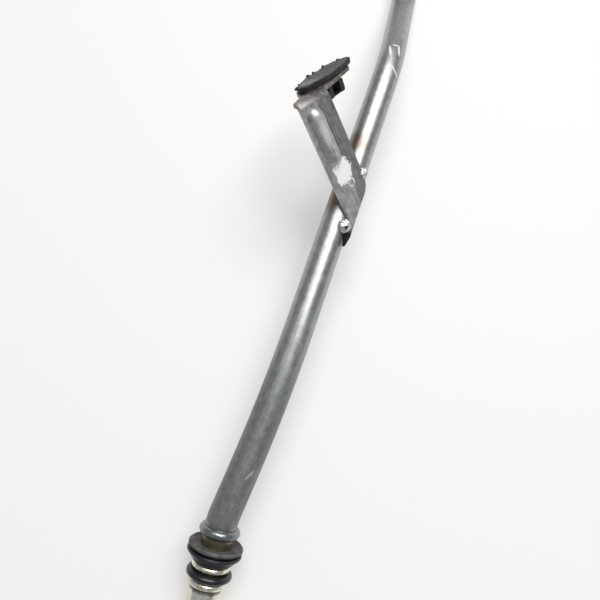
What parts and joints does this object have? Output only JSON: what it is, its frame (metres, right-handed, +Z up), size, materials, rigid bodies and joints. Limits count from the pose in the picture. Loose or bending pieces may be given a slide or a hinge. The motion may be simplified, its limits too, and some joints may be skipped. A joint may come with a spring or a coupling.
{
  "type": "oil dipstick tube",
  "caption": "Bent steel guide tube for an engine oil dipstick, with upset beads, seals at the plug-in end and a welded bracket carrying a rubber buffer.",
  "frame": {"origin": "on the resting surface, under the middle of the part's box", "axes": "+Z up from the resting surface, +Y along the tube from the plug-in end to the mouth, +X to the side away from the bracket's arm"},
  "size_m": [0.0806, 0.3736, 0.0558],
  "materials": {
    "tube_steel": "satin grey steel, zinc with a yellow tint at the plug-in end",
    "bracket_steel": "pressed steel with heat tint at the fold",
    "weld_steel": "bright weld metal",
    "buffer_rubber": "matte black rubber with a grey bloom",
    "seal_rubber": "matte black rubber, dusty",
    "ring_rubber": "glossy black rubber"
  },
  "bodies": {
    "root": {"guide_tube": "tube_steel", "bracket": "bracket_steel", "upper_weld": "weld_steel", "lower_weld": "weld_steel", "rubber_buffer": "buffer_rubber", "dust_seal": "seal_rubber", "o_ring": "ring_rubber"}
  },
  "joints": []
}
